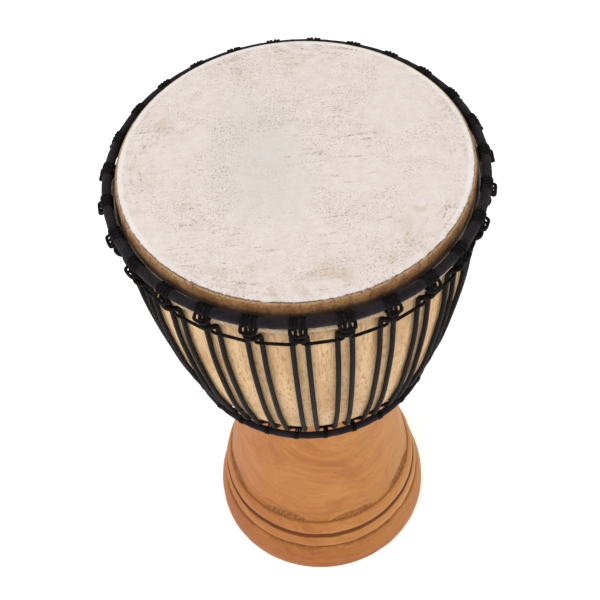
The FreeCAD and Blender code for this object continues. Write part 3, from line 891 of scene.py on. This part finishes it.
# ---- cords ----------------------------------------------------------------------
SIDE_ROPE = BOWL_ARC + CLEAR + ROPE / 2
BELLY_ROPE = BELLY_ARC + CLEAR + ROPE / 2
LOW_ANGLE = 36.0
ARCH_HALF = 5.1
ROPE_KNOT = (110.0, 316.0)
CROWN_RUN = (170.6, 554.8)
CROWN_KNOT = (170.4, 554.8)
LOW_KNOT = (126.5, 318.5)
LOW_TURNS = 2
LOW_PACE = 0.62


def rope_run(reach):
    """A point on the straight run, a distance past the place where it leaves the wood."""
    r, z = on_circle(BELLY_CENTRE, BELLY_ROPE, -LOW_ANGLE)
    a = math.radians(LOW_ANGLE)
    return r - reach * math.sin(a), z - reach * math.cos(a)


LOW_BAR = rope_run(18.0)
TIED_BAR = rope_run(13.0)


def leg(azimuth, side):
    """Control points of one leg, from behind the low hoop up to the arch."""
    stretch = BELLY_ROPE / math.cos(math.radians((LOW_ANGLE - TURN) / 2))
    points = [
        (rope_run(4.5), LEG),
        (on_circle(BELLY_CENTRE, stretch, -(LOW_ANGLE + TURN) / 2), LEG),
        (on_circle(SIDE_CENTRE, SIDE_ROPE + 0.2, 0.5 - TURN), LEG),
        (on_circle(SIDE_CENTRE, SIDE_ROPE + 1.6, -12.6), LEG),
        (on_circle(SIDE_CENTRE, SIDE_ROPE + 1.6, -5.2), LEG),
        ((164.9, 543.5), LEG),
        ((166.1, 560.0), LEG + 0.1),
        ((170.0, 564.6), LEG - 0.2),
        ((174.7, 566.2), ARCH_HALF * 0.62),
    ]
    return [at(azimuth, r, side * t, z) for (r, z), t in points]


def rope_route():
    """Control points of the tension rope, laced all the way round."""
    route = [at(BACK, ROPE_KNOT[0], ROPE * 0.55, ROPE_KNOT[1])]
    for k in range(HITCHES):
        azimuth = FIRST + (TIE_GAP + 1 + k) * PITCH
        down = TIED_BAR if k == 0 else LOW_BAR
        up = TIED_BAR if k == HITCHES - 1 else LOW_BAR
        route.append(at(azimuth, down[0], -LEG, down[1]))
        route += leg(azimuth, -1)
        route += reversed(leg(azimuth, 1))
        route.append(at(azimuth, up[0], LEG, up[1]))
    route.append(at(BACK, ROPE_KNOT[0], -ROPE * 0.55, ROPE_KNOT[1]))
    return route


def crown_half(azimuth, side):
    """Half a hitch on the crown ring: neck, two turns, and half of the front bar."""
    wrap = CROWN[2] + TOUCH + LOOP / 2
    front = CROWN[0] + wrap
    back = CROWN[0] - wrap
    over = CROWN[1] + wrap
    under = CROWN[1] - wrap
    points = [
        (12.0, CROWN_RUN[0] - 1.2, CROWN_RUN[1]),
        (1.9, CROWN_RUN[0], CROWN_RUN[1]),
        (1.75, 169.3, 565.0),
        (2.4, 173.8, 574.0),
        (INNER, front, 581.6),
        (INNER, front, over),
        (INNER, back, over),
        (INNER + 0.3, back, under),
        (OUTER, front, under),
        (OUTER, front, over),
        (OUTER, back, over),
        (OUTER + 0.6, back, under),
        (7.5, CROWN[0] + 7.9, CROWN[1] - 4.9),
        (2.5, CROWN[0] + 8.2, CROWN[1] - 7.4),
    ]
    return [at(azimuth, r, side * t, z) for t, r, z in points]


def crown_route():
    """Control points of the crown loop cord: a hitch, a straight run, a hitch."""
    route = [at(BACK, CROWN_KNOT[0], LOOP * 0.7, CROWN_KNOT[1])]
    for k in range(HITCHES):
        azimuth = FIRST + (TIE_GAP + 1 + k) * PITCH
        route += crown_half(azimuth, -1)
        route += reversed(crown_half(azimuth, 1))
    route.append(at(BACK, CROWN_KNOT[0], -LOOP * 0.7, CROWN_KNOT[1]))
    return route


def low_hitch(azimuth):
    """Control points of the turns that bind one turn of the rope to the low hoop."""
    wrap = LOW[2] + TOUCH + BIND / 2
    gap = math.hypot(LOW_BAR[0] - LOW[0], LOW_BAR[1] - LOW[1])
    inward = ((LOW_BAR[0] - LOW[0]) / gap, (LOW_BAR[1] - LOW[1]) / gap)
    slim = ROPE / 2 + TOUCH + BIND / 2
    wide = wrap + 0.5
    # each corner: (below, inward, share of a turn), counted from the hoop's centre
    rest = (wrap + 0.3, 4.0)
    turn = [
        (wide, -wrap, 0.0), (-wide, -wrap, 1.0),
        (-wrap, 6.5, 1.45), (-slim, gap - 3.5, 1.8),
        (-slim, gap + slim, 2.0), (slim, gap + slim, 3.0),
        (slim, gap - 3.5, 3.2), (wrap, 6.5, 3.55),
    ]
    half = (4 * LOW_TURNS - 1) / 2
    stops = [(rest, -1.0 - half)]
    for k in range(LOW_TURNS):
        for below, along, share in turn:
            stops.append(((below, along), share + 4 * k - half))
    stops[-1] = (rest, 1.0 + half)
    route = []
    for (below, along), sideways in stops:
        r = LOW[0] - below * inward[1] + along * inward[0]
        z = LOW[1] + below * inward[0] + along * inward[1]
        route.append(at(azimuth, r, sideways * LOW_PACE, z))
    return route


def low_route():
    """Control points of the cord that binds every turn of the rope to the low hoop."""
    route = [at(BACK, LOW_KNOT[0], BIND * 0.7, LOW_KNOT[1])]
    for k in range(HITCHES - 1):
        route += low_hitch(BACK + (k + 1) * PITCH)
    route.append(at(BACK, LOW_KNOT[0], -BIND * 0.7, LOW_KNOT[1]))
    return route


def press(piece, hoop, rod, thick, flat):
    """Flatten a cord where it is wound tight round a hoop's cloth."""
    radius, height, tube_radius = hoop[0] * MM, hoop[1] * MM, (rod + CORD_BED) * MM
    reach = tube_radius + thick * 1.15 * MM
    for vertex in piece.data.vertices:
        co = vertex.co
        across = math.hypot(co.x, co.y)
        out, up = across - radius, co.z - height
        away = math.hypot(out, up)
        if tube_radius < away < reach:
            amount = flat + (1 - flat) * smooth(away, tube_radius + thick * MM, reach)
            scale = (tube_radius + (away - tube_radius) * amount) / away
            ratio = (radius + out * scale) / across
            vertex.co = (co.x * ratio, co.y * ratio, height + up * scale)


def knot_routes(place, thick, spread, entry, tails):
    """Control points of two ends that turn round each other one and a half times and hang down."""
    radius, height = place
    routes = []
    for side, (out, drop) in zip((1, -1), tails):
        points = [(side * t * thick, o * thick, z * thick) for t, o, z in entry]
        for step in range(13):
            share = step / 12
            turn = math.pi * 3 * share + (0 if side > 0 else math.pi)
            t = side * spread * (1 - 2 * share)
            outward = math.cos(turn) * 0.62
            upward = math.sin(turn) * 0.62 - 1.2
            points.append((t * thick, outward * thick, upward * thick))
        end = -side * (spread + 0.45) * thick
        points.append((end, out * 0.3, -1.5 * thick))
        points.append((end * 1.1, out * 0.8, -1.5 * thick - drop * 0.45))
        points.append((end * 1.05, out, -1.2 * thick - drop))
        routes.append([at(BACK, radius + o, t, height + z) for t, o, z in points])
    return routes


def make_cords(rope_material, loop_material):
    """The rope, the two loop cords and the knots that tie their ends."""
    rope = tube("laced_rope", [spaced(smooth_line(rope_route()), 2.1 * MM, 15.0)], ROPE, 12,
                rope_material, (3, 6.6, 0.045))
    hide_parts("tension_rope")
    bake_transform(rope)

    crown = tube("crown_lashing", [spaced(smooth_line(crown_route()), 1.5 * MM, 15.0)], LOOP, 10,
                 loop_material, (2, 3.4, 0.04))
    press(crown, CROWN, CROWN_ROD, LOOP + 0.9, 0.36)
    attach(crown, "tuning_hoops")
    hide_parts("crown_loop_cord")

    low = tube("low_lashing", [spaced(smooth_line(low_route()), 1.2 * MM, 15.0)], BIND, 10,
               loop_material, (2, 2.8, 0.04))
    press(low, LOW, LOW_ROD, BIND + 1.6, 0.27)
    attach(low, "drum")
    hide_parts("low_loop_cord")

    from_above = [(0.55, 0.0, 0.0), (1.3, 0.1, -0.6)]
    from_side = [(0.7, 0.0, 0.0), (1.4, 0.1, -0.7)]
    for name, node, slot, body, place, thick, entry, tails, stuff in (
        ("rope_tie", "rope_knot", "tension_rope", "drum", ROPE_KNOT, ROPE, from_above,
         [(-1.0, 24.0), (-2.0, 19.0)], rope_material),
        ("crown_tie", "crown_cord_knot", "loop_cord", "tuning_hoops", CROWN_KNOT, LOOP, from_side,
         [(0.5, 13.0), (0.0, 10.0)], loop_material),
        ("low_tie", "low_cord_knot", "loop_cord", "drum", LOW_KNOT, BIND, from_side,
         [(1.0, 9.0), (1.5, 7.0)], loop_material),
    ):
        lines = [spaced(smooth_line(route), 0.9 * MM, 14.0)
                 for route in knot_routes(place, thick, 1.15, entry, tails)]
        tie = tube(name, lines, thick, 14, stuff, (3, 5.0, 0.04))
        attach(tie, body)
        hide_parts(node)


# ---- everything -----------------------------------------------------------------
def add_floor():
    size = 6.0
    corners = [(-size, -size, 0), (size, -size, 0), (size, size, 0), (-size, size, 0)]
    floor = mesh_object("floor", corners, [(0, 1, 2, 3)], floor_material())


add_camera()
add_studio()
add_floor()
make_shell(wood_material())
skin = make_skin(skin_material())
make_hairs(hair_material())
cloth = cloth_material()
make_cloth("crown_cloth", "crown_ring_cloth", CROWN, "tuning_hoops", CROWN_ROD, cloth, 17.0)
make_cloth("low_cloth", "low_ring_cloth", LOW, "drum", LOW_ROD, cloth, 15.0)
make_cords(
    braid_material("rope_braid", 8, 2.2, (0.0110, 0.0085, 0.0075), (0.034, 0.028, 0.025), 0.45),
    braid_material("loop_braid", 6, 2.0, (0.0100, 0.0085, 0.0090), (0.038, 0.032, 0.032), 0.48),
)
steel = steel_material()
for node in ("crown_ring", "low_ring", "flesh_hoop"):
    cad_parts[node].data.materials.clear()
    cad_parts[node].data.materials.append(steel)
